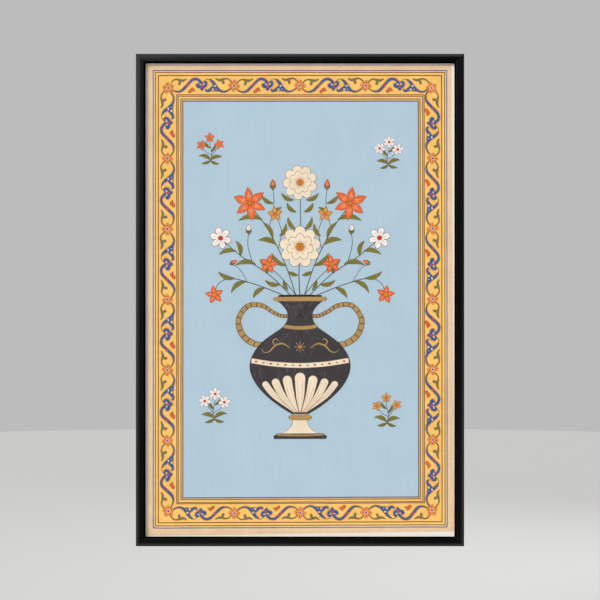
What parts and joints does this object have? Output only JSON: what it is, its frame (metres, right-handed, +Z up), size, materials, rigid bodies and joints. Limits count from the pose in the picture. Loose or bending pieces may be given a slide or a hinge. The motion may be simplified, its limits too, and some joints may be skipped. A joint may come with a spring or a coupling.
{
  "type": "framed picture",
  "caption": "Upright framed picture for a wall: a narrow black mitred frame round a glazed, printed sheet with an ornamental border, hung by sawtooth hangers on its back.",
  "frame": {"origin": "middle of the frame on the wall's face, where the frame's bumpers touch the wall", "axes": "+X to the right as the picture is looked at, +Y into the wall, +Z up"},
  "size_m": [0.6, 0.0252, 0.9],
  "materials": {
    "rail": "satin black lacquer",
    "glazing": "clear, smooth",
    "spacer": "matt white",
    "print": "matt print on smooth heavy paper",
    "card": "matt",
    "board": "plain hardboard, smooth side out",
    "steel": "zinc plated",
    "brass": "brass plated steel, satin",
    "rubber": "soft, matt"
  },
  "bodies": {
    "root": {"rail_top": "rail", "rail_right": "rail", "rail_bottom": "rail", "rail_left": "rail", "glazing": "glazing", "spacer_top": "spacer", "spacer_bottom": "spacer", "spacer_left": "spacer", "spacer_right": "spacer", "print_sheet": "print", "backing_card": "card", "backing_board": "board", "point_top_1": "steel", "point_top_2": "steel", "point_right_1": "steel", "point_right_2": "steel", "point_right_3": "steel", "point_right_4": "steel", "point_bottom_1": "steel", "point_bottom_2": "steel", "point_left_1": "steel", "point_left_2": "steel", "point_left_3": "steel", "point_left_4": "steel", "hanger_left": "brass", "hanger_right": "brass", "hanger_nail_left_1": "steel", "hanger_nail_left_2": "steel", "hanger_nail_right_1": "steel", "hanger_nail_right_2": "steel", "bumper_left": "rubber", "bumper_right": "rubber"}
  },
  "joints": []
}
